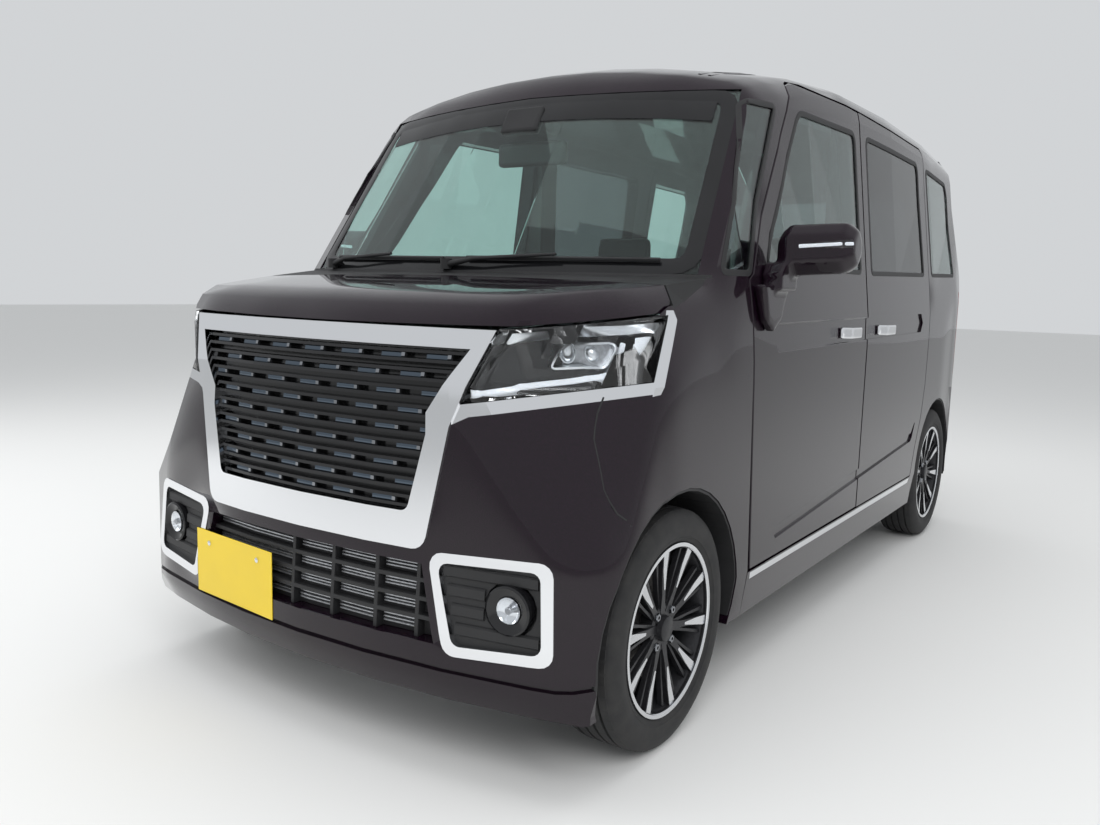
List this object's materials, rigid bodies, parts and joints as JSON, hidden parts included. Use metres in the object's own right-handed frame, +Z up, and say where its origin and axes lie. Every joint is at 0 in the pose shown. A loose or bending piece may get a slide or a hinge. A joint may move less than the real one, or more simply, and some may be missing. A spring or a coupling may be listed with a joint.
{
  "type": "kei van",
  "caption": "Tall boxy small passenger van with a bright grille surround, hinged front doors, sliding rear doors, a lifting tailgate, turning wheels and steering.",
  "frame": {"origin": "on the ground under the centre of the bounding box", "axes": "+Z up, the front faces -Y, +X to the left side of the van"},
  "size_m": [1.856, 3.395, 1.7846],
  "materials": {
    "body_paint": "gloss",
    "black_trim": "matte",
    "gloss_black": "gloss",
    "bright_trim": "polished",
    "underbody": "satin",
    "plate_paint": "satin",
    "lamp_lens": "gloss",
    "clear_glass": "gloss",
    "dark_glass": "gloss",
    "seat_fabric": "matte",
    "engine_alloy": "satin",
    "chassis_steel": "satin",
    "exhaust_steel": "satin",
    "cast_knuckle": "satin",
    "tyre_rubber": "matte",
    "wheel_alloy": "gloss"
  },
  "bodies": {
    "body": {"arch_liners": "black_trim", "body_side_left": "body_paint", "body_side_right": "body_paint", "cowl_panel": "black_trim", "dashboard": "black_trim", "door_pillars": "black_trim", "engine_block": "engine_alloy", "exhaust": "exhaust_steel", "fixed_glass": "clear_glass", "floor_pan": "underbody", "fog_bezels": "bright_trim", "fog_lamps": "gloss_black", "front_bumper": "body_paint", "front_fender_left": "body_paint", "front_fender_right": "body_paint", "front_plate": "plate_paint", "front_seats": "seat_fabric", "front_suspension": "chassis_steel", "fuel_tank": "black_trim", "grille": "gloss_black", "grille_surround": "bright_trim", "head_lamps": "lamp_lens", "lower_grille": "black_trim", "rear_axle": "chassis_steel", "rear_bumper": "body_paint", "rear_seats": "seat_fabric", "roof_panel": "body_paint", "sill_trims": "bright_trim", "sliding_door_glass": "dark_glass", "sliding_door_left": "body_paint", "sliding_door_right": "body_paint", "sliding_handles": "bright_trim", "tail_lamps": "lamp_lens"},
    "hood": {"hood": "body_paint"},
    "tailgate": {"tailgate": "body_paint", "tailgate_glass": "dark_glass", "rear_plate": "plate_paint"},
    "front_door_left": {"front_door_left": "body_paint", "front_door_glass_left": "clear_glass", "door_mirror_left": "body_paint", "front_handle_left": "bright_trim"},
    "front_door_right": {"front_door_right": "body_paint", "front_door_glass_right": "clear_glass", "door_mirror_right": "body_paint", "front_handle_right": "bright_trim"},
    "knuckle_left": {"knuckle_left": "cast_knuckle"},
    "knuckle_right": {"knuckle_right": "cast_knuckle"},
    "steering_wheel": {"steering_wheel": "black_trim"},
    "wheel_front_left": {"tyre_front_left": "tyre_rubber", "rim_front_left": "wheel_alloy", "brake_disc_left": "cast_knuckle"},
    "wheel_rear_left": {"tyre_rear_left": "tyre_rubber", "rim_rear_left": "wheel_alloy", "brake_drum_left": "cast_knuckle"},
    "wheel_front_right": {"tyre_front_right": "tyre_rubber", "rim_front_right": "wheel_alloy", "brake_disc_right": "cast_knuckle"},
    "wheel_rear_right": {"tyre_rear_right": "tyre_rubber", "rim_rear_right": "wheel_alloy", "brake_drum_right": "cast_knuckle"}
  },
  "joints": [
    {"name": "steer_left", "type": "hinge", "parent": "body", "child": "knuckle_left", "pos_m": [0.6, -1.222, 0.281], "axis": [0, 0, 1], "range_deg": [-35, 35]},
    {"name": "spin_front_left", "type": "hinge", "parent": "knuckle_left", "child": "wheel_front_left", "pos_m": [0.6475, -1.222, 0.281], "axis": [1, 0, 0], "continuous": true},
    {"name": "spin_rear_left", "type": "hinge", "parent": "body", "child": "wheel_rear_left", "pos_m": [0.6475, 1.238, 0.281], "axis": [1, 0, 0], "continuous": true},
    {"name": "door_left", "type": "hinge", "parent": "body", "child": "front_door_left", "pos_m": [0.7345, -0.862, 0.7], "axis": [0, 0, -1], "range_deg": [0, 65]},
    {"name": "steer_right", "type": "hinge", "parent": "body", "child": "knuckle_right", "pos_m": [-0.6, -1.222, 0.281], "axis": [0, 0, 1], "range_deg": [-35, 35]},
    {"name": "spin_front_right", "type": "hinge", "parent": "knuckle_right", "child": "wheel_front_right", "pos_m": [-0.6475, -1.222, 0.281], "axis": [1, 0, 0], "continuous": true},
    {"name": "spin_rear_right", "type": "hinge", "parent": "body", "child": "wheel_rear_right", "pos_m": [-0.6475, 1.238, 0.281], "axis": [1, 0, 0], "continuous": true},
    {"name": "door_right", "type": "hinge", "parent": "body", "child": "front_door_right", "pos_m": [-0.7345, -0.862, 0.7], "axis": [0, 0, 1], "range_deg": [0, 65]},
    {"name": "hood_lift", "type": "hinge", "parent": "body", "child": "hood", "pos_m": [0, -1.227, 1.076], "axis": [-1, 0, 0], "range_deg": [0, 50]},
    {"name": "tailgate_lift", "type": "hinge", "parent": "body", "child": "tailgate", "pos_m": [0, 1.566, 1.743], "axis": [1, 0, 0], "range_deg": [0, 80]},
    {"name": "steering_wheel_turn", "type": "hinge", "parent": "body", "child": "steering_wheel", "pos_m": [-0.34, -0.5, 0.96], "axis": [0, 0.866, 0.5], "range_deg": [-560, 560]}
  ],
  "couplings": [
    {"joint": "steer_right", "follows": "steer_left", "ratio": 1},
    {"joint": "steering_wheel_turn", "follows": "steer_left", "ratio": 16}
  ]
}
